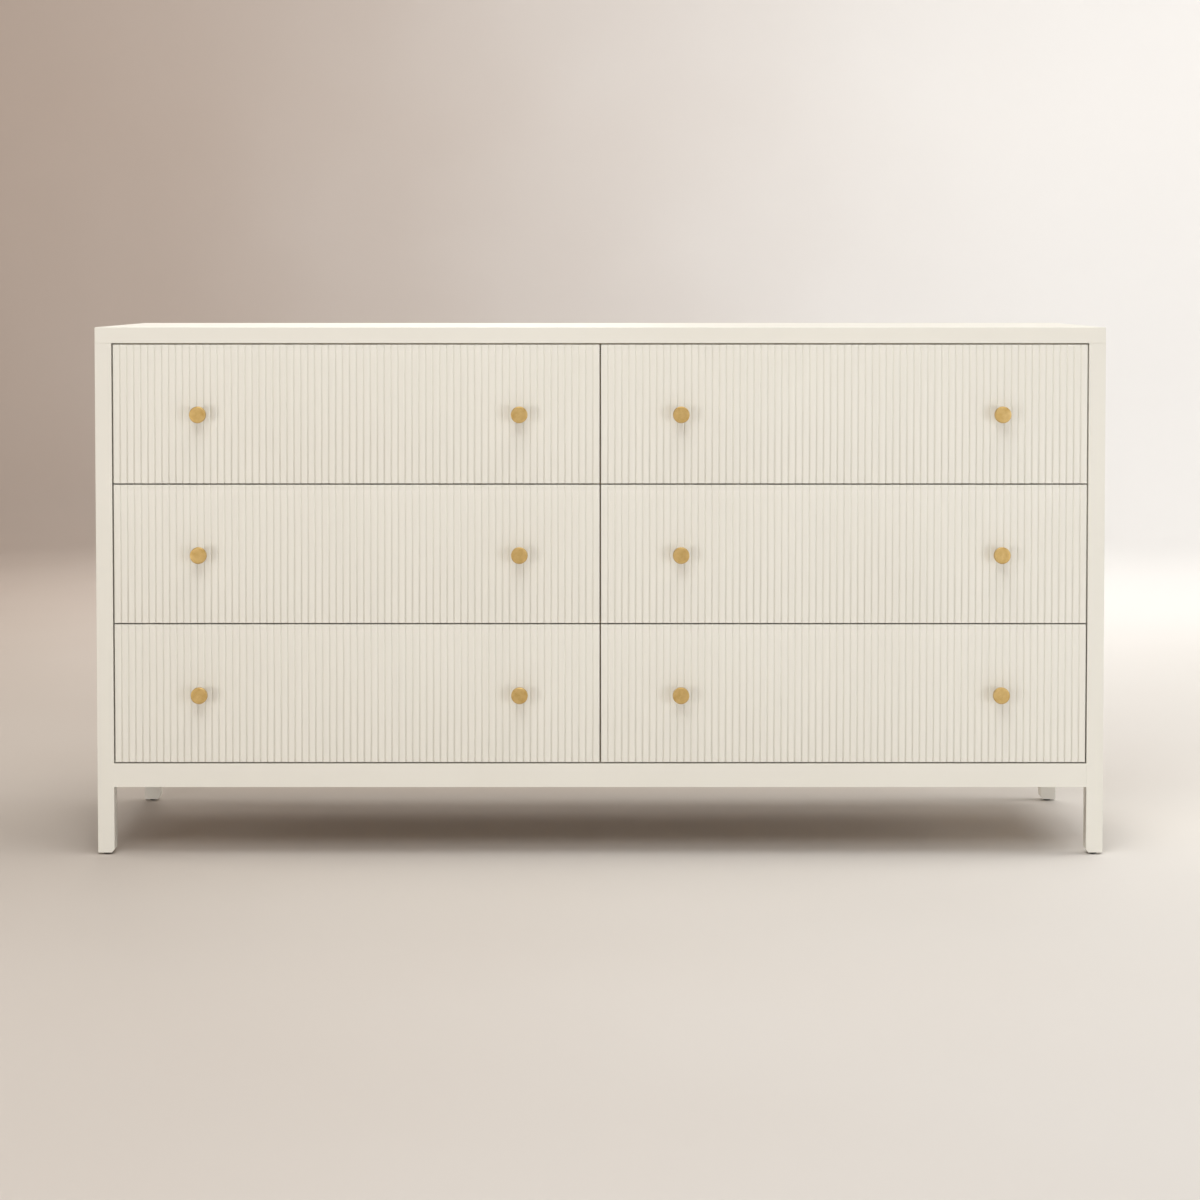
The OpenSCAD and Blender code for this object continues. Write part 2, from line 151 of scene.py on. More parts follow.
def birch(name, layered):
    look = birchLook
    material, tree, shader = newMaterial(name, {"IOR": 1.5})
    place = addNode(tree, "ShaderNodeAttribute", out="Vector", attribute_name="woodPlace")
    field = stretchedNoise(tree, place, look["ringLength"], look["ringWidth"], look["ringDetail"])
    counted = addNode(tree, "ShaderNodeMath", [field, look["rings"]], operation="MULTIPLY")
    rings = addNode(tree, "ShaderNodeMath", [counted, 0.5], operation="PINGPONG")
    streaks = stretchedNoise(tree, place, look["streakLength"], look["streakWidth"], look["streakDetail"])
    flecks = stretchedNoise(tree, place, look["fleckLength"], look["fleckWidth"], look["fleckDetail"])
    grain = addNode(tree, "ShaderNodeMath", [rings, look["ringShare"], streaks], operation="MULTIPLY_ADD")
    share = addNode(tree, "ShaderNodeMapRange", [grain, *look["grainSpan"], 0, 1])
    dots = addNode(tree, "ShaderNodeMapRange", [flecks, *look["fleckSpan"], 0, look["fleckShare"]])
    ground = addNode(tree, "ShaderNodeMix", [share, look["pale"], look["warm"]], data_type="RGBA")
    colour = addNode(tree, "ShaderNodeMix", [dots, ground, look["fleck"]], data_type="RGBA")
    if layered:
        # z of woodPlace counts the plies, and every second one shows its end grain
        ply = addNode(tree, "ShaderNodeSeparateXYZ", [place], out="Z")
        turned = addNode(tree, "ShaderNodeMath", [ply, 2], operation="FLOORED_MODULO")
        crossed = addNode(tree, "ShaderNodeMath", [turned, 1], operation="GREATER_THAN")
        edge = addNode(tree, "ShaderNodeMath", [ply, 0.5], operation="PINGPONG")
        glued = addNode(tree, "ShaderNodeMapRange", [edge, *look["glueSpan"], look["glueShare"], 0])
        colour = addNode(tree, "ShaderNodeMix", [crossed, colour, look["cross"]], data_type="RGBA")
        colour = addNode(tree, "ShaderNodeMix", [glued, colour, look["glue"]], data_type="RGBA")
    rough = addNode(tree, "ShaderNodeMapRange", [streaks, *noiseSpan, look["smooth"], look["rough"]])
    bump = addNode(tree, "ShaderNodeBump", {"Height": grain, "Distance": look["grainDepth"]})
    tree.links.new(colour, shader.inputs["Base Color"])
    tree.links.new(rough, shader.inputs["Roughness"])
    tree.links.new(bump, shader.inputs["Normal"])
    return material


# Beech dowel, turned: warmer and pinker than birch, with short pores.
dowelLook = {"pale": "d9b78a", "warm": "c49a69", "pore": 1.2 * mm}


def turnedBeech():
    look = dowelLook
    material, tree, shader = newMaterial("turnedBeech", {"Roughness": 0.6})
    place = addNode(tree, "ShaderNodeTexCoord", out="Object")
    pores = addNode(tree, "ShaderNodeTexNoise", {"Vector": place, "Scale": 1 / look["pore"], "Detail": 3})
    colour = addNode(tree, "ShaderNodeMix", [pores, look["pale"], look["warm"]], data_type="RGBA")
    tree.links.new(colour, shader.inputs["Base Color"])
    return material


# Brass, turned and brushed on the lathe, then lacquered: a soft yellow metal with fine rings round its axis.
# x of turnedPlace is the distance along the outline, and its other two go once round it. Real brushing is
# finer than the render shows, so its lines are drawn 0.35 mm wide.
brassLook = {"light": "d8bc82", "dark": "c09e5e", "line": 0.35 * mm, "lineDepth": 0.012 * mm, "cloud": 9 * mm,
             "lineShare": 0.5, "tintSpan": (0.45, 1.05), "smooth": 0.3, "rough": 0.44}


def turnedBrass():
    look = brassLook
    material, tree, shader = newMaterial("turnedBrass", {"Metallic": 1})
    place = addNode(tree, "ShaderNodeAttribute", out="Vector", attribute_name="turnedPlace")
    lines = addNode(tree, "ShaderNodeTexNoise", {"Vector": place, "Scale": 1 / look["line"], "Detail": 2})
    spot = addNode(tree, "ShaderNodeTexCoord", out="Object")
    cloud = addNode(tree, "ShaderNodeTexNoise", {"Vector": spot, "Scale": 1 / look["cloud"], "Detail": 2})
    both = addNode(tree, "ShaderNodeMath", [lines, look["lineShare"], cloud], operation="MULTIPLY_ADD")
    share = addNode(tree, "ShaderNodeMapRange", [both, *look["tintSpan"], 0, 1])
    colour = addNode(tree, "ShaderNodeMix", [share, look["light"], look["dark"]], data_type="RGBA")
    rough = addNode(tree, "ShaderNodeMapRange", [lines, *noiseSpan, look["smooth"], look["rough"]])
    bump = addNode(tree, "ShaderNodeBump", {"Height": lines, "Distance": look["lineDepth"]})
    tree.links.new(colour, shader.inputs["Base Color"])
    tree.links.new(rough, shader.inputs["Roughness"])
    tree.links.new(bump, shader.inputs["Normal"])
    return material


# Steel with bright zinc plate: cool grey, with faint rolling streaks and a cloudy sheen.
zincLook = {"light": "d2d5d8", "dark": "b4b8bd", "cloud": 14 * mm, "streakWidth": 0.6 * mm,
            "streakLength": 36 * mm, "smooth": 0.24, "rough": 0.4}


def zincPlatedSteel():
    look = zincLook
    material, tree, shader = newMaterial("zincPlatedSteel", {"Metallic": 1})
    place = addNode(tree, "ShaderNodeTexCoord", out="Object")
    cloud = addNode(tree, "ShaderNodeTexNoise", {"Vector": place, "Scale": 1 / look["cloud"], "Detail": 4})
    scale = (1 / look["streakWidth"], 1 / look["streakLength"], 1 / look["streakWidth"])
    drawn = addNode(tree, "ShaderNodeMapping", {"Vector": place, "Scale": scale})
    streaks = addNode(tree, "ShaderNodeTexNoise", {"Vector": drawn, "Scale": 1, "Detail": 2})
    colour = addNode(tree, "ShaderNodeMix", [cloud, look["light"], look["dark"]], data_type="RGBA")
    rough = addNode(tree, "ShaderNodeMapRange", [streaks, *noiseSpan, look["smooth"], look["rough"]])
    tree.links.new(colour, shader.inputs["Base Color"])
    tree.links.new(rough, shader.inputs["Roughness"])
    return material


# Black nylon, moulded: matt, with the fine sparked texture of its mould.
nylonLook = {"light": "232322", "dark": "151515", "spark": 0.5 * mm, "sparkDepth": 0.03 * mm}


def mouldedNylon():
    look = nylonLook
    material, tree, shader = newMaterial("mouldedNylon", {"Roughness": 0.5, "IOR": 1.53})
    place = addNode(tree, "ShaderNodeTexCoord", out="Object")
    spark = addNode(tree, "ShaderNodeTexNoise", {"Vector": place, "Scale": 1 / look["spark"], "Detail": 2})
    colour = addNode(tree, "ShaderNodeMix", [spark, look["light"], look["dark"]], data_type="RGBA")
    bump = addNode(tree, "ShaderNodeBump", {"Height": spark, "Distance": look["sparkDepth"]})
    tree.links.new(colour, shader.inputs["Base Color"])
    tree.links.new(bump, shader.inputs["Normal"])
    return material


lacquer = creamLacquer()
solidBirch = birch("planedBirch", False)
plywood = birch("birchPlywood", True)
beech = turnedBeech()
brass = turnedBrass()
zinc = zincPlatedSteel()
nylon = mouldedNylon()
print("Materials made")


def looseGroups(shape):
    # the separate solids of a bmesh, each as a list of its corners
    shape.verts.ensure_lookup_table()
    seen = set()
    groups = []
    for start in shape.verts:
        if start.index in seen:
            continue
        seen.add(start.index)
        group = [start]
        for corner in group:
            for edge in corner.link_edges:
                other = edge.other_vert(corner)
                if other.index not in seen:
                    seen.add(other.index)
                    group.append(other)
        groups.append(group)
    return groups


def boxOf(points):
    return (Vector([min(p[a] for p in points) for a in range(3)]),
            Vector([max(p[a] for p in points) for a in range(3)]))


def nodeShape(nodeName):
    # a CAD node's mesh with its triangles joined up
    shape = bmesh.new()
    shape.from_mesh(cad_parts[nodeName].data)
    bmesh.ops.remove_doubles(shape, verts=shape.verts, dist=joinWithin)
    shape.verts.index_update()
    return shape


def solidsOf(nodeName):
    # the boxes of a CAD node's separate solids
    shape = nodeShape(nodeName)
    boxes = [boxOf([corner.co for corner in group]) for group in looseGroups(shape)]
    shape.free()
    return sorted(boxes, key=lambda box: [round(v, 6) for v in box[0]])


def addPiece(name, mesh, material, body, slot, *replaced):
    # a finished mesh becomes a piece that rides on its body and stands for CAD nodes
    mesh.name = name
    mesh.materials.clear()
    mesh.materials.append(material)
    piece = bpy.data.objects.new(name, mesh)
    bpy.context.scene.collection.objects.link(piece)
    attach(piece, body)
    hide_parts(*replaced)
    return piece


def smoothen(mesh, kind):
    mesh.shade_smooth()
    mesh.set_sharp_from_angle(angle=math.radians(smoothBelow[kind]))


def plainMesh(shape, kind=None):
    # a bmesh as a mesh, flat shaded, or smooth as its kind of surface is
    mesh = bpy.data.meshes.new("shape")
    shape.to_mesh(mesh)
    shape.free()
    if kind:
        smoothen(mesh, kind)
    return mesh


# how far along and across the log the next board is cut, and how far the faces stay inside the outer plies
boardCuts = {"along": 1.7, "across": 0.31, "plyInset": 0.002}


def setWoodPlace(shape, ply=0):
    # each board's grain runs along its longest side; ply is the veneer thickness of layered boards
    layer = shape.verts.layers.float_vector.new("woodPlace")
    for number, group in enumerate(looseGroups(shape)):
        low, high = boxOf([corner.co for corner in group])
        size = high - low
        thin, wide, long = sorted(range(3), key=lambda a: size[a])
        plies = 2 * round(size[thin] / ply / 2) + 1 if ply else 0
        inset = boardCuts["plyInset"]
        for corner in group:
            place = corner.co - low
            along = place[long] + boardCuts["along"] * number
            across = place[wide] + boardCuts["across"] * number
            share = inset + (1 - 2 * inset) * place[thin] / size[thin]
            corner[layer] = (along, across, share * plies if ply else place[thin])


# an edge is eased if it is this long and bends this much, in radians; flat is the most that a flat face bends
easing = {"flat": math.radians(0.5), "shortest": 4 * mm, "bend": 0.5, "facing": 0.9, "steps": 2}


def easedBoards(nodeName, ease, flush=(), ply=None):
    # a CAD node's boards with their long edges rounded, apart from those of faces that lie flush on another
    shape = nodeShape(nodeName)
    bmesh.ops.dissolve_limit(shape, angle_limit=easing["flat"], verts=shape.verts, edges=shape.edges)
    edges = []
    for edge in shape.edges:
        turns = [face.normal.dot(Vector(way)) for face in edge.link_faces for way in flush]
        longEnough = edge.calc_length() >= easing["shortest"] and edge.is_manifold
        bends = edge.calc_face_angle_signed(0) >= easing["bend"]
        if longEnough and bends and max(turns, default=0) <= easing["facing"]:
            edges.append(edge)
    bmesh.ops.bevel(shape, geom=edges, offset=ease, segments=easing["steps"], profile=0.5,
                    affect="EDGES", clamp_overlap=True)
    shape.verts.index_update()
    if ply is not None:
        setWoodPlace(shape, ply)
    return plainMesh(shape)


def lathe(shape, outline, segments):
    # turns an outline of [radius, height] points round Z; a radius of 0 closes the shape in one point
    rings = []
    for radius, height in outline:
        count = segments if radius > 0 else 1
        rings.append([shape.verts.new((radius * math.cos(2 * math.pi * i / segments),
                                       radius * math.sin(2 * math.pi * i / segments), height))
                      for i in range(count)])
    for lower, upper in zip(rings, rings[1:]):
        for i in range(segments):
            j = (i + 1) % segments
            if len(lower) == 1 and len(upper) == 1:
                continue
            corners = [lower[i % len(lower)], lower[j % len(lower)],
                       upper[j % len(upper)], upper[i % len(upper)]]
            shape.faces.new(list(dict.fromkeys(corners)))
    return rings


def arc(middle, radius, start, end, steps):
    # points on an arc, with the angles in degrees
    turns = [math.radians(start + (end - start) * i / steps) for i in range(steps + 1)]
    return [(middle[0] + radius * math.cos(t), middle[1] + radius * math.sin(t)) for t in turns]


def newTree(name, inputs):
    tree = bpy.data.node_groups.new(name, "GeometryNodeTree")
    for label, kind in inputs:
        tree.interface.new_socket(label, in_out="INPUT", socket_type="NodeSocket" + kind)
    tree.interface.new_socket("Geometry", in_out="OUTPUT", socket_type="NodeSocketGeometry")
    return tree, tree.nodes.new("NodeGroupInput").outputs


def runTree(tree, base, values):
    # sets the tree's inputs by their identifiers on a modifier, and gives the plain mesh that it makes
    holder = bpy.data.objects.new("holder", base)
    bpy.context.scene.collection.objects.link(holder)
    modifier = holder.modifiers.new("repeats", "NODES")
    modifier.node_group = tree
    for item in tree.interface.items_tree:
        if item.name in values:
            modifier[item.identifier] = values[item.name]
    graph = bpy.context.evaluated_depsgraph_get()
    mesh = bpy.data.meshes.new_from_object(holder.evaluated_get(graph))
    holder.modifiers.clear()
    bpy.data.objects.remove(holder)
    return mesh


def makeRepeatTree():
    # sets a copy of one shape on each point, its Z turned to the point's aim
    tree, given = newTree("shapeOnPoints", [
        ("Points", "Geometry"), ("Shape", "Object"), ("Finish", "Material")])
    aim = addNode(tree, "GeometryNodeInputNamedAttribute", ["aim"], data_type="FLOAT_VECTOR")
    turn = addNode(tree, "FunctionNodeAlignRotationToVector", {"Vector": aim}, axis="Z")
    one = addNode(tree, "GeometryNodeObjectInfo", [given["Shape"], True], out="Geometry")
    copies = addNode(tree, "GeometryNodeInstanceOnPoints",
                     {"Points": given["Points"], "Instance": one, "Rotation": turn})
    real = addNode(tree, "GeometryNodeRealizeInstances", [copies])
    finished = addNode(tree, "GeometryNodeSetMaterial", {"Geometry": real, "Material": given["Finish"]})
    addNode(tree, "NodeGroupOutput", [finished])
    return tree


repeatTree = makeRepeatTree()


def repeatShape(mesh, spots, material):
    # copies of a mesh at spots of (place, aim), as one mesh
    points = bpy.data.meshes.new("points")
    points.from_pydata([place for place, aim in spots], [], [])
    aims = points.attributes.new("aim", "FLOAT_VECTOR", "POINT")
    aims.data.foreach_set("vector", [value for place, aim in spots for value in aim])
    pattern = bpy.data.objects.new("pattern", mesh)
    bpy.context.scene.collection.objects.link(pattern)
    made = runTree(repeatTree, points, {"Shape": pattern, "Finish": material})
    bpy.data.objects.remove(pattern)
    return made


def joinMeshes(meshes):
    shape = bmesh.new()
    for mesh in meshes:
        shape.from_mesh(mesh)
    joined = bpy.data.meshes.new("joined")
    shape.to_mesh(joined)
    shape.free()
    return joined


caseEase = {"top": 0.7 * mm, "post": 0.45 * mm, "rail": 0.5 * mm, "board": 0.4 * mm, "veneer": 1.4 * mm}
north = (0, 1, 0)
south = (0, -1, 0)
east = (1, 0, 0)
west = (-1, 0, 0)
up = (0, 0, 1)
down = (0, 0, -1)


def makeCase():
    # each painted piece: its CAD node, its name, how its edges are eased, and which faces lie flush
    painted = [("top_panel", "topPanel", caseEase["top"], ()),
               ("rail_front", "railFront", caseEase["rail"], (east, west)),
               ("rail_rear", "railRear", caseEase["rail"], (east, west)),
               ("side_rails", "sideRails", caseEase["rail"], (north, south)),
               ("side_panel_left", "sidePanelLeft", caseEase["board"], (north, south, up, down)),
               ("side_panel_right", "sidePanelRight", caseEase["board"], (north, south, up, down))]
    for end in ("front", "rear"):
        for side in columns:
            name = f"post{end.title()}{side.title()}"
            painted.append((f"post_{end}_{side}", name, caseEase["post"], (up,)))
    for node, name, ease, flush in painted:
        addPiece(name, easedBoards(node, ease, flush), lacquer, "case", "painted_wood", node)
    layered = [("centre_divider", "centreDivider", "carcass_board"),
               ("bottom_panel", "bottomPanel", "carcass_board"),
               ("top_stretchers", "topStretchers", "carcass_board"),
               ("back_panel", "backPanel", "back_board")]
    for node, name, slot in layered:
        mesh = easedBoards(node, caseEase["board"], ply=caseEase["veneer"])
        addPiece(name, mesh, plywood, "case", slot, node)
    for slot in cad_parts["case_dowels"].material_slots:
        slot.material = beech


makeCase()
print("Case made")


reeds = {"goal": 10.5 * mm, "depth": 1.75 * mm, "flat": 0.5 * mm, "power": 3, "steps": 14, "ease": 0.5 * mm,
         "sides": 6, "pastHalf": 0.501}


def makeReedTree():
    # One reed is a strip of a tube that goes round the front's section. The grid's rows are the rear lower
    # edge, the two of the eased lower edge, the two of the eased upper edge, the rear upper edge, and the
    # start again. Its columns past the half turn are the flat of the groove.
    sides = reeds["sides"]
    tree, given = newTree("reededFront", [
        ("Reeds", "Int"), ("Steps", "Int"), ("Pitch", "Float"), ("Flat", "Float"), ("Depth", "Float"),
        ("Power", "Float"), ("Thickness", "Float"), ("Height", "Float"), ("Ease", "Float"),
        ("Corner", "Vector"), ("Finish", "Material")])
    wide = addNode(tree, "ShaderNodeMath", [given["Steps"], 2], operation="ADD")
    lines = addNode(tree, "ShaderNodeMath", [given["Steps"], 3], operation="ADD")
    grid = addNode(tree, "GeometryNodeMeshGrid", [wide, sides, lines, sides + 1])
    spot = addNode(tree, "GeometryNodeInputPosition")
    across = addNode(tree, "ShaderNodeSeparateXYZ", [spot], out="X")
    rise = addNode(tree, "ShaderNodeSeparateXYZ", [spot], out="Y")
    row = addNode(tree, "ShaderNodeMath", [rise, sides / 2], operation="ADD")
    # each reed bulges as |sin| and |cos| of one angle to a power, with half of the groove's flat on each side
    turn = addNode(tree, "ShaderNodeMath", [across, given["Steps"]], operation="DIVIDE")
    held = addNode(tree, "ShaderNodeClamp", [turn, -0.5, 0.5])
    angle = addNode(tree, "ShaderNodeMath", [held, math.pi], operation="MULTIPLY")
    bend = addNode(tree, "ShaderNodeMath", [2, given["Power"]], operation="DIVIDE")
    bulge = addNode(tree, "ShaderNodeMath", [given["Pitch"], given["Flat"]], operation="SUBTRACT")
    half = addNode(tree, "ShaderNodeMath", [bulge, 0.5], operation="MULTIPLY")
    halfFlat = addNode(tree, "ShaderNodeMath", [given["Flat"], 0.5], operation="MULTIPLY")
    share = addNode(tree, "ShaderNodeMath", [turn], operation="ABSOLUTE")
    onFlat = addNode(tree, "ShaderNodeMath", [share, reeds["pastHalf"]], operation="GREATER_THAN")
    groove = addNode(tree, "ShaderNodeMath", [onFlat, halfFlat], operation="MULTIPLY")
    sine = addNode(tree, "ShaderNodeMath", [angle], operation="SINE")
    sideways = addNode(tree, "ShaderNodeMath", [sine], operation="ABSOLUTE")
    bent = addNode(tree, "ShaderNodeMath", [sideways, bend], operation="POWER")
    reach = addNode(tree, "ShaderNodeMath", [bent, half, groove], operation="MULTIPLY_ADD")
    side = addNode(tree, "ShaderNodeMath", [across], operation="SIGN")
    x = addNode(tree, "ShaderNodeMath", [reach, side], operation="MULTIPLY")
    cosine = addNode(tree, "ShaderNodeMath", [angle], operation="COSINE")
    forward = addNode(tree, "ShaderNodeMath", [cosine, 0], operation="MAXIMUM")
    crown = addNode(tree, "ShaderNodeMath", [forward, bend], operation="POWER")
    sunk = addNode(tree, "ShaderNodeMath", [1, crown], operation="SUBTRACT")
    face = addNode(tree, "ShaderNodeMath", [sunk, given["Depth"]], operation="MULTIPLY")
    eased = addNode(tree, "ShaderNodeMath", [face, given["Ease"]], operation="ADD")
    below = addNode(tree, "ShaderNodeMath", [given["Height"], given["Ease"]], operation="SUBTRACT")
    back, top = given["Thickness"], given["Height"]
    depths = [row, back, eased, face, face, eased, back, back]
    heights = [row, 0, 0, given["Ease"], below, top, top, 0]
    y = addNode(tree, "GeometryNodeIndexSwitch", depths, data_type="FLOAT")
    z = addNode(tree, "GeometryNodeIndexSwitch", heights, data_type="FLOAT")
    place = addNode(tree, "ShaderNodeCombineXYZ", [x, y, z])
    reed = addNode(tree, "GeometryNodeSetPosition", {"Geometry": grid, "Position": place})
    middle = addNode(tree, "ShaderNodeMath", [given["Pitch"], 0.5], operation="MULTIPLY")
    first = addNode(tree, "ShaderNodeCombineXYZ", [middle])
    step = addNode(tree, "ShaderNodeCombineXYZ", [given["Pitch"]])
    line = addNode(tree, "GeometryNodeMeshLine",
                   {"Count": given["Reeds"], "Start Location": first, "Offset": step})
    copies = addNode(tree, "GeometryNodeInstanceOnPoints", {"Points": line, "Instance": reed})
    real = addNode(tree, "GeometryNodeRealizeInstances", [copies])
    tube = addNode(tree, "GeometryNodeMergeByDistance", {"Geometry": real, "Distance": joinWithin})
    # the tube's open ends are drawn in to one point each
    faces = addNode(tree, "GeometryNodeInputMeshEdgeNeighbors")
    openEdge = addNode(tree, "FunctionNodeCompare", {"A_INT": faces, "B_INT": 1}, data_type="INT",
                       operation="EQUAL")
    capped = addNode(tree, "GeometryNodeExtrudeMesh",
                     {"Mesh": tube, "Selection": openEdge, "Offset Scale": 0}, mode="EDGES")
    halfThick = addNode(tree, "ShaderNodeMath", [given["Thickness"], 0.5], operation="MULTIPLY")
    halfHigh = addNode(tree, "ShaderNodeMath", [given["Height"], 0.5], operation="MULTIPLY")
    centre = addNode(tree, "ShaderNodeCombineXYZ", [across, halfThick, halfHigh])
    drawnIn = addNode(tree, "GeometryNodeSetPosition",
                      {"Geometry": capped, "Selection": capped.node.outputs["Top"], "Position": centre})
    closed = addNode(tree, "GeometryNodeMergeByDistance", {"Geometry": drawnIn, "Distance": joinWithin})
    moved = addNode(tree, "GeometryNodeTransform", {"Geometry": closed, "Translation": given["Corner"]})
    finished = addNode(tree, "GeometryNodeSetMaterial", {"Geometry": moved, "Material": given["Finish"]})
    addNode(tree, "NodeGroupOutput", [finished])
    return tree


def makeFronts():
    tree = makeReedTree()
    for row in rows:
        for column in columns:
            node = f"drawer_{row}_{column}_front"
            low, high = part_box(node)
            size = high - low
            count = round(size.x / reeds["goal"])
            mesh = runTree(tree, bpy.data.meshes.new("empty"), {
                "Reeds": count, "Steps": reeds["steps"], "Pitch": size.x / count, "Flat": reeds["flat"],
                "Depth": reeds["depth"], "Power": float(reeds["power"]), "Thickness": size.y,
                "Height": size.z, "Ease": reeds["ease"], "Corner": low, "Finish": lacquer})
            smoothen(mesh, "bent")
            drawer = f"drawer_{row}_{column}"
            addPiece(f"reededFront_{row}_{column}", mesh, lacquer, drawer, "painted_wood", node)


makeFronts()
print("Reeded fronts made")


drawerEase = {"board": 0.8 * mm, "bottom": 0.3 * mm, "veneer": 1.6 * mm}


def makeBoxes():
    for row in rows:
        for column in columns:
            drawer = f"drawer_{row}_{column}"
            boards = easedBoards(f"{drawer}_box", drawerEase["board"], ply=0)
            addPiece(f"box_{row}_{column}", boards, solidBirch, drawer, "drawer_wood", f"{drawer}_box")
            floor = easedBoards(f"{drawer}_bottom", drawerEase["bottom"], ply=drawerEase["veneer"])
            addPiece(f"boxBottom_{row}_{column}", floor, plywood, drawer, "drawer_ply", f"{drawer}_bottom")


makeBoxes()
print("Drawer boxes made")


knobSizes = {"footRadius": 5 * mm, "footHeight": 1.5 * mm, "footEase": 0.5 * mm, "neckRadius": 4 * mm,
             "neckStart": 0.6 * mm, "headHeight": 8 * mm, "ease": 1.5 * mm, "flareHeight": 6 * mm,
             "flareSteps": 12, "rimSet": 2 * mm, "segments": 64, "roundMarks": 0.35 * mm,
             "underTurn": -60, "footSteps": (3, 4), "rimSteps": (5, 8), "faceRings": (0.75, 0.5, 0.25, 0)}


def knobOutline(radius, length):
    # from the middle of the foot on the front to the middle of the flat face
    k = knobSizes
    under = length - k["headHeight"]
    flare = radius - k["rimSet"]
    foot = k["footRadius"] - k["footEase"]
    points = [(0, 0), (foot, 0)]
    points += arc((foot, k["footEase"]), k["footEase"], k["underTurn"], 0, k["footSteps"][0])
    points += arc((foot, k["footHeight"] - k["footEase"]), k["footEase"], 0, 90, k["footSteps"][1])
    points.append((k["neckRadius"], k["footHeight"] + k["neckStart"]))
    for i in range(k["flareSteps"] + 1):
        turn = math.radians(90 * i / k["flareSteps"])
        points.append((k["neckRadius"] + (flare - k["neckRadius"]) * (1 - math.cos(turn)),
                       under - k["flareHeight"] * (1 - math.sin(turn))))
    rim = radius - k["ease"]
    points += arc((rim, under + k["ease"]), k["ease"], k["underTurn"], 0, k["rimSteps"][0])
    points += arc((rim, length - k["ease"]), k["ease"], 0, 90, k["rimSteps"][1])
    points += [(rim * share, length) for share in k["faceRings"]]
    return points


def knobMesh(radius, length):
    shape = bmesh.new()
    layer = shape.verts.layers.float_vector.new("turnedPlace")
    outline = knobOutline(radius, length)
    rings = lathe(shape, outline, knobSizes["segments"])
    marks = knobSizes["roundMarks"]
    walked = 0
    for number, ring in enumerate(rings):
        if number:
            walked += math.dist(outline[number - 1], outline[number])
        for corner in ring:
            turn = math.atan2(corner.co.y, corner.co.x)
            corner[layer] = (walked, marks * math.cos(turn), marks * math.sin(turn))
    bmesh.ops.recalc_face_normals(shape, faces=shape.faces)
    return plainMesh(shape, "turned")


def makeKnobs():
    for row in rows:
        for column in columns:
            node = f"drawer_{row}_{column}_knobs"
            solids = solidsOf(node)
            low, high = solids[0]
            spots = [(((a.x + b.x) / 2, b.y, (a.z + b.z) / 2), south) for a, b in solids]
            mesh = repeatShape(knobMesh((high.x - low.x) / 2, high.y - low.y), spots, brass)
            addPiece(f"knobs_{row}_{column}", mesh, brass, f"drawer_{row}_{column}", "brass", node)


makeKnobs()
print("Knobs made")


# panShape is the share of the head's radius and of its height at each step down its dome, and crossDips how
# deep the cross is at a spoke near the middle, between two spokes, and at a spoke's end
screwSizes = {"segments": 16, "crossRadius": 2.1 * mm, "crossDepth": 1.3 * mm, "tip": 2 * mm,
              "crossRings": (0.45, 1, 1.15), "crossDips": (0.9, 0.55, 0.6), "edgeShare": 0.1,
              "panShape": ((0.8, 0.08), (0.95, 0.35), (1, 0.7), (1, 1)),
              "sameRadius": 0.05 * mm, "panLeast": 0.2 * mm}


def screwsIn(nodeName):
    # reads each screw of a CAD node: where its head's top is, its aim, its radii, and its head's and whole
    # length
    s = screwSizes
    shape = nodeShape(nodeName)
    screws = []
    for group in looseGroups(shape):
        low, high = boxOf([corner.co for corner in group])
        size = high - low
        axis = max(range(3), key=lambda a: size[a])
        middle = (low + high) / 2
        ends = {}
        for corner in group:
            off = corner.co - middle
            off[axis] = 0
            ends.setdefault(round(corner.co[axis], 6), []).append(off.length)
        radii = {place: max(found) for place, found in ends.items()}
        lowest, highest = min(radii), max(radii)
        top, tip = (highest, lowest) if radii[highest] > radii[lowest] else (lowest, highest)
        headRadius = round(radii[top], 5)
        least = headRadius - s["sameRadius"]
        headEnds = [abs(place - top) for place, radius in radii.items() if radius > least]
        coneEnds = [abs(place - top) for place, radius in radii.items() if radius < least]
        pan = max(headEnds) > s["panLeast"]
        place = middle.copy()
        place[axis] = top
        aim = Vector((0, 0, 0))
        aim[axis] = 1 if top > tip else -1
        kind = (pan, headRadius, round(max(headEnds) if pan else min(coneEnds), 5), round(radii[tip], 5),
                round(abs(top - tip), 5))
        screws.append((kind, tuple(place), tuple(aim)))
    shape.free()
    return screws


def screwMesh(pan, headRadius, headHeight, shankRadius, length):
    # Z points out of the head, whose top is at 0; the cross is pressed in by lowering four spokes of it
    s = screwSizes
    outline = [(0, 0)] + [(share * s["crossRadius"], 0) for share in s["crossRings"]]
    if pan:
        outline += [(wide * headRadius, -deep * headHeight) for wide, deep in s["panShape"]]
    else:
        outline += [(headRadius, 0), (headRadius, -s["edgeShare"] * headHeight)]
    outline += [(shankRadius, -headHeight), (shankRadius, s["tip"] - length), (0, -length)]
    shape = bmesh.new()
    rings = lathe(shape, outline, s["segments"])
    rings[0][0].co.z -= s["crossDepth"]
    spoke, between, end = s["crossDips"]
    quarter = s["segments"] // 4
    for i, corner in enumerate(rings[1]):
        corner.co.z -= s["crossDepth"] * (between if i % quarter else spoke)
    for corner in rings[2][::quarter]:
        corner.co.z -= end * s["crossDepth"]
    bmesh.ops.recalc_face_normals(shape, faces=shape.faces)
    return plainMesh(shape, "turned")


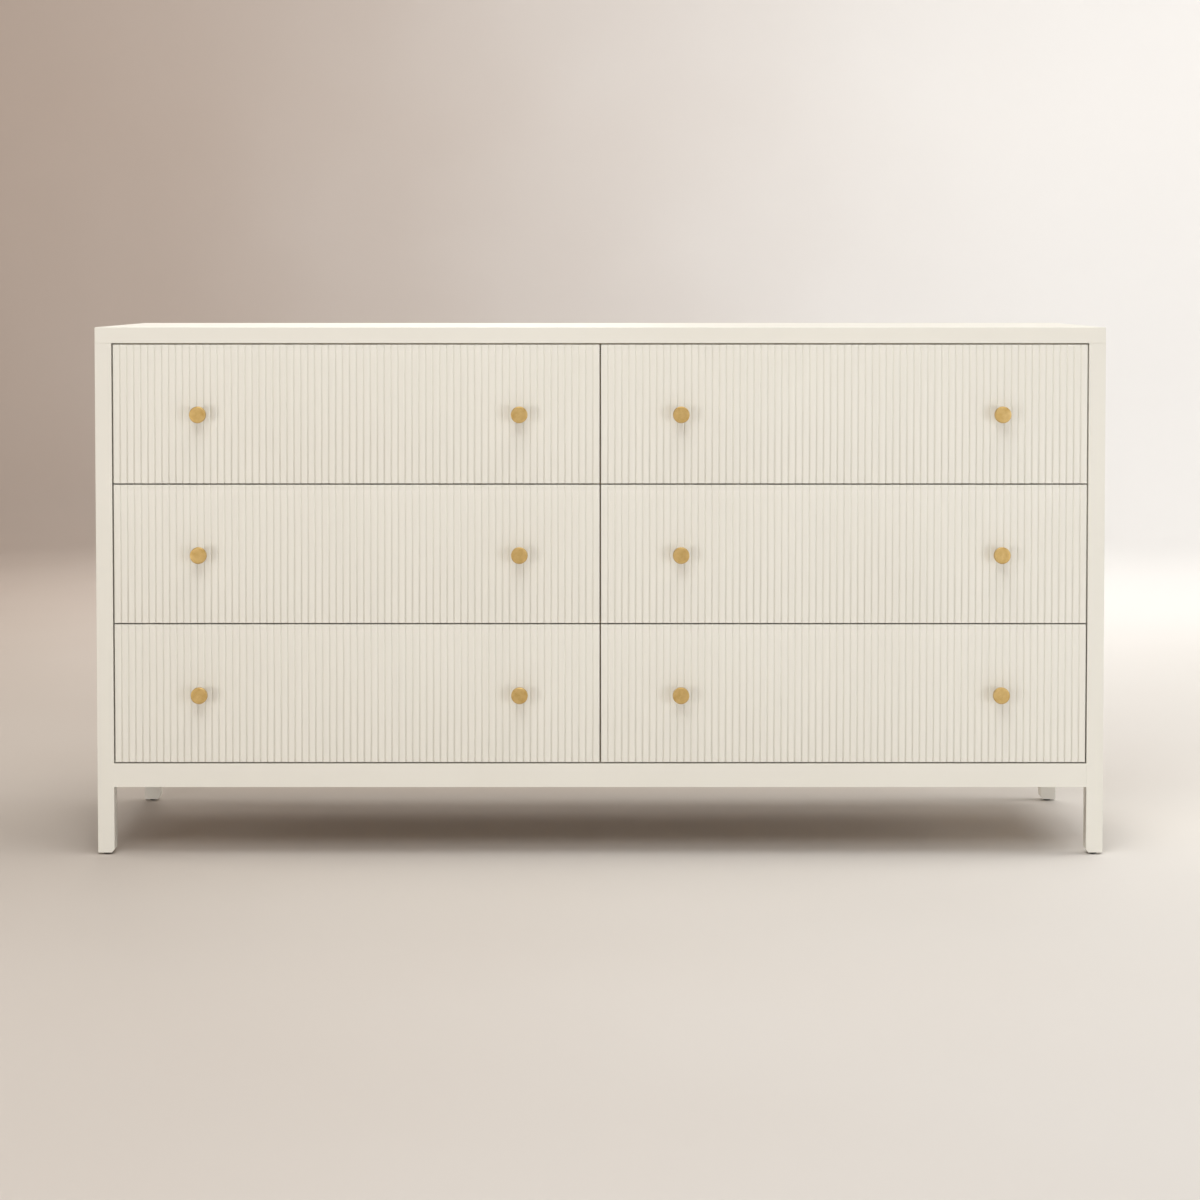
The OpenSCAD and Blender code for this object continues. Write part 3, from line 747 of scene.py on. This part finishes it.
def makeScrews():
    owners = [("case_screws", "caseScrews", "case")]
    for row in rows:
        for column in columns:
            drawer = f"drawer_{row}_{column}"
            owners.append((f"{drawer}_screws", f"screws_{row}_{column}", drawer))
    for node, name, body in owners:
        kinds = {}
        for kind, place, aim in screwsIn(node):
            kinds.setdefault(kind, []).append((place, aim))
        meshes = [repeatShape(screwMesh(*kind), kinds[kind], zinc) for kind in sorted(kinds)]
        addPiece(name, joinMeshes(meshes), zinc, body, "screw_steel", node)


glideSizes = {"ease": 0.8 * mm, "easeSteps": 3, "underTurn": -60, "nailDip": 0.8 * mm, "nailHead": 2.2 * mm,
              "nailSlope": 0.5 * mm, "nailShank": 1.25 * mm, "nailTip": 2 * mm, "segments": 32}


def makeGlides():
    # a moulded disc with a countersunk nail through it, standing on the floor
    g = glideSizes
    low, high = solidsOf("foot_glides")[0]
    radius = (high.x - low.x) / 2
    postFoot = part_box("post_front_left")[0].z
    edge = radius - g["ease"]
    outline = [(0, g["nailDip"]), (g["nailHead"] - g["nailSlope"], g["nailDip"])]
    outline += [(g["nailHead"], 0), (edge, 0)]
    outline += arc((edge, g["ease"]), g["ease"], g["underTurn"], 0, g["easeSteps"])
    outline += [(radius, postFoot), (g["nailShank"], postFoot)]
    outline += [(g["nailShank"], high.z - g["nailTip"]), (0, high.z)]
    shape = bmesh.new()
    lathe(shape, outline, g["segments"])
    bmesh.ops.recalc_face_normals(shape, faces=shape.faces)
    spots = [(((a.x + b.x) / 2, (a.y + b.y) / 2, 0), up) for a, b in solidsOf("foot_glides")]
    mesh = repeatShape(plainMesh(shape, "turned"), spots, nylon)
    addPiece("footGlides", mesh, nylon, "case", "glide", "foot_glides")


makeScrews()
makeGlides()
print("Screws and glides made")


slideSizes = {"sheet": 1.2 * mm, "bend": 2 * mm, "bendSteps": 4, "lip": 1.3 * mm, "lipBend": 0.8 * mm,
              "lipSteps": 3, "mitreLeast": 0.5, "ball": 2.2 * mm, "ballPlay": 0.05 * mm,
              "ballPitch": 18 * mm, "cageThick": 0.6 * mm, "cageWide": 4.4 * mm, "cageEnd": 12 * mm}


def sheetOutline(path, thick):
    # the closed outline of bent sheet that follows the middle line path
    sides = ([], [])
    for i, point in enumerate(path):
        before = Vector(path[max(i - 1, 0)])
        after = Vector(path[min(i + 1, len(path) - 1)])
        here = Vector(point)
        ways = [(b - a).normalized() for a, b in ((before, here), (here, after)) if a != b]
        along = sum(ways, Vector((0, 0))).normalized()
        stretch = thick / 2 / max(along.dot(ways[0]), slideSizes["mitreLeast"])
        off = Vector((-along.y, along.x)) * stretch
        sides[0].append(here + off)
        sides[1].append(here - off)
    return sides[0] + sides[1][::-1]


def memberPath(depth, height, lip):
    # middle line of a slide member: lip, flange, bend, web, bend, flange, lip; u leads away from the web
    s = slideSizes
    half = s["sheet"] / 2
    outer = depth - half
    bend = s["bend"] - half
    top = height / 2 - half
    if lip:
        turn = s["lipBend"]
        lower = [(outer, lip - top)] + arc((outer - turn, turn - top), turn, 0, -90, s["lipSteps"])
    else:
        lower = [(depth, -top)]
    lower += arc((half + bend, bend - top), bend, -90, -180, s["bendSteps"])
    return lower + [(u, -w) for u, w in reversed(lower)]


def addMember(shape, box, webSide, lip):
    # one member in its CAD box; webSide is 1 if the web is on the box's +X side, else -1
    low, high = box
    path = memberPath(high.x - low.x, high.z - low.z, lip)
    web = high.x if webSide > 0 else low.x
    middle = (low.z + high.z) / 2
    outline = sheetOutline(path, slideSizes["sheet"])
    ends = [[shape.verts.new((web - webSide * u, y, middle + w)) for u, w in outline]
            for y in (low.y, high.y)]
    count = len(outline)
    for i in range(count):
        j = (i + 1) % count
        shape.faces.new([ends[0][i], ends[0][j], ends[1][j], ends[1][i]])
    # the ends are closed strip by strip, across the sheet
    for i in range(count // 2 - 1):
        for end in ends:
            shape.faces.new([end[i], end[i + 1], end[count - 2 - i], end[count - 1 - i]])


def outward(box, column):
    # 1 if a slide is on the +X side of its drawer, else -1
    low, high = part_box(f"drawer_top_{column}_front")
    return 1 if box[0].x + box[1].x > low.x + high.x else -1


def membersMesh(boxes, webOutward, lip):
    shape = bmesh.new()
    for box in boxes:
        column = "left" if box[0].x < 0 else "right"
        side = outward(box, column)
        addMember(shape, box, side if webOutward else -side, lip)
    bmesh.ops.recalc_face_normals(shape, faces=shape.faces)
    return plainMesh(shape, "bent")


def ballMesh():
    # one ball with its stretch of the cage that holds the row
    s = slideSizes
    shape = bmesh.new()
    bmesh.ops.create_icosphere(shape, subdivisions=2, radius=s["ball"] / 2)
    sizes = Vector((s["cageWide"], s["ballPitch"], s["cageThick"])) / 2
    made = bmesh.ops.create_cube(shape, size=2)
    for corner in made["verts"]:
        corner.co = Vector([corner.co[a] * sizes[a] for a in range(3)])
    return plainMesh(shape, "round")


def ballSpots(mid):
    # rows of balls above and below: outside this member for the case, and inside it for the drawer's member
    s = slideSizes
    low, high = mid
    length = high.y - low.y
    centre = (low + high) / 2
    half = (high.z - low.z) / 2
    gapHalf = s["ball"] / 2 + s["ballPlay"]
    count = int((length / 2 - 2 * s["cageEnd"]) / s["ballPitch"])
    spots = []
    races = [(half + gapHalf, centre.y + s["cageEnd"]),
             (half - s["sheet"] - gapHalf, low.y + s["cageEnd"])]
    for height, start in races:
        for sign in (-1, 1):
            for i in range(count):
                along = start + (i + 0.5) * s["ballPitch"]
                spots.append(((centre.x, along, centre.z + sign * height), up))
    return spots


def makeSlides():
    lip = slideSizes["lip"]
    outer = membersMesh(solidsOf("slides_case"), True, lip)
    addPiece("slidesCase", outer, zinc, "case", "slide_steel", "slides_case")
    for row in rows:
        for column in columns:
            place = f"{row}_{column}"
            inNode = f"drawer_{place}_slide_inner"
            inner = membersMesh(solidsOf(inNode), False, 0)
            addPiece(f"slideInner_{place}", inner, zinc, f"drawer_{place}", "slide_steel", inNode)
            midNode = f"drawer_{place}_slide_mid"
            mids = solidsOf(midNode)
            middle = membersMesh(mids, True, lip)
            addPiece(f"slideMiddle_{place}", middle, zinc, f"runners_{place}", "slide_steel", midNode)
            balls = repeatShape(ballMesh(), [spot for mid in mids for spot in ballSpots(mid)], zinc)
            addPiece(f"slideBalls_{place}", balls, zinc, f"runners_{place}", "slide_steel")


makeSlides()
print("Slides made")


# a round floor that turns up into a wall, in metres
stageSizes = {"floorRadius": 4.9, "coveRadius": 1.5, "wallHeight": 5.0, "segments": 96, "coveSteps": 16,
              "floorRings": (0.3, 0.6, 0.85, 1)}
# the left tones are painted shade for light falling off to the left, and the floor's left also stands in for
# the shadow beside the dresser; the floor tones are set darker than the wall's as painted shade
stageLook = {"floorLeft": "c8bcb1", "floorRight": "e0dedb", "wallLeft": "c3b4a9", "wallRight": "f3f2f0",
             "cloud": 600 * mm, "cloudShare": 0.5, "side": 2.2, "near": 0.2, "far": 4.0}


def paperWithPaintedShade():
    # matt seamless paper that goes from warm grey on the left to near white on the right; the grey is painted
    # shade for light falling off to the left, not the paper's own colour
    look = stageLook
    material, tree, shader = newMaterial("paperWithPaintedShade", {"Roughness": 0.9})
    place = addNode(tree, "ShaderNodeTexCoord", out="Object")
    across = addNode(tree, "ShaderNodeSeparateXYZ", [place], out="X")
    depth = addNode(tree, "ShaderNodeSeparateXYZ", [place], out="Y")
    cloud = addNode(tree, "ShaderNodeTexNoise", {"Vector": place, "Scale": 1 / look["cloud"], "Detail": 1})
    stirred = addNode(tree, "ShaderNodeMath", [cloud, look["cloudShare"], across], operation="MULTIPLY_ADD")
    # painted shade: the paper is made darker towards the left, where the light falls off
    sideways = addNode(tree, "ShaderNodeMapRange", [stirred, -look["side"], look["side"], 0, 1],
                       interpolation_type="SMOOTHSTEP")
    away = addNode(tree, "ShaderNodeMapRange", [depth, look["near"], look["far"], 0, 1],
                   interpolation_type="SMOOTHSTEP")
    wall = addNode(tree, "ShaderNodeMix", [sideways, look["wallLeft"], look["wallRight"]], data_type="RGBA")
    floor = addNode(tree, "ShaderNodeMix", [sideways, look["floorLeft"], look["floorRight"]],
                    data_type="RGBA")
    colour = addNode(tree, "ShaderNodeMix", [away, floor, wall], data_type="RGBA")
    tree.links.new(colour, shader.inputs["Base Color"])
    return material


def makeStage():
    s = stageSizes
    outline = [(0, 0)] + [(s["floorRadius"] * share, 0) for share in s["floorRings"]]
    outline += arc((s["floorRadius"], s["coveRadius"]), s["coveRadius"], -90, 0, s["coveSteps"])[1:]
    outline.append((s["floorRadius"] + s["coveRadius"], s["wallHeight"]))
    shape = bmesh.new()
    lathe(shape, outline, s["segments"])
    bmesh.ops.recalc_face_normals(shape, faces=shape.faces)
    mesh = plainMesh(shape, "round")
    mesh.materials.append(paperWithPaintedShade())
    backdrop = bpy.data.objects.new("backdrop", mesh)
    bpy.context.scene.collection.objects.link(backdrop)


# each softbox: where it hangs, what it is aimed at, its size in metres, its watts and its colour
softboxes = {"overhead": ((0.3, -1.0, 3.9), (0, -0.2, 0), (2.6, 2.0), 59, "fffefc"),
             "frontHigh": ((-0.4, -3.4, 3.3), (0, -0.2, 0.4), (2.4, 1.6), 47, "fffefc"),
             "frontLow": ((0.2, -4.7, 0.7), (0, 0, 0.3), (2.8, 1.2), 8, "fffefc"),
             "lowLeft": ((-2.6, -3.6, 0.5), (-0.1, -0.2, 0.1), (1.2, 0.8), 30, "fffefc"),
             "lowRight": ((2.6, -3.6, 0.5), (0.1, -0.2, 0.1), (1.2, 0.8), 26, "f2f6ff"),
             "rightHigh": ((2.6, 0.2, 3.2), (0.4, 0, 0.2), (1.6, 1.6), 32, "fffcf8"),
             "rightLow": ((4.3, 0.3, 1.2), (0, 0.2, 0.2), (1.0, 1.0), 24, "fffbf4"),
             "leftLow": ((-4.2, 0.9, 1.3), (0, 0.2, 0.3), (1.0, 1.0), 14, "fffaf2"),
             "behindHigh": ((1.2, 2.0, 3.6), (0.6, 0.8, 0.0), (2.6, 1.2), 27, "fffaf2"),
             "behindLeft": ((-0.8, 3.9, 2.6), (0, 0.2, 0.4), (2.0, 1.2), 32, "fffaf2"),
             "wallMiddle": ((0.6, 2.0, 3.4), (0.4, 6.2, 1.8), (2.4, 1.0), 60, "fffefc"),
             "wallRight": ((3.0, 2.4, 2.8), (2.4, 6.4, 2.2), (1.6, 1.2), 40, "f8faff")}
studioAir = {"colour": "fff6ea", "strength": 0.12}


def makeLight():
    for name, (place, target, size, watts, code) in softboxes.items():
        data = bpy.data.lights.new(name, "AREA")
        data.shape = "RECTANGLE"
        data.size, data.size_y = size
        data.energy = watts
        data.color = hexColour(code)[:3]
        light = bpy.data.objects.new(name, data)
        light.location = place
        light.rotation_euler = (Vector(target) - Vector(place)).to_track_quat("-Z", "Y").to_euler()
        light.visible_camera = False
        bpy.context.scene.collection.objects.link(light)
    world = bpy.data.worlds.new("studioAir")
    world.use_nodes = True
    air = world.node_tree.nodes["Background"]
    air.inputs["Color"].default_value = hexColour(studioAir["colour"])
    air.inputs["Strength"].default_value = studioAir["strength"]
    bpy.context.scene.world = world
    bpy.context.scene.view_settings.view_transform = "Standard"


makeStage()
makeLight()
print("Stage and light made")
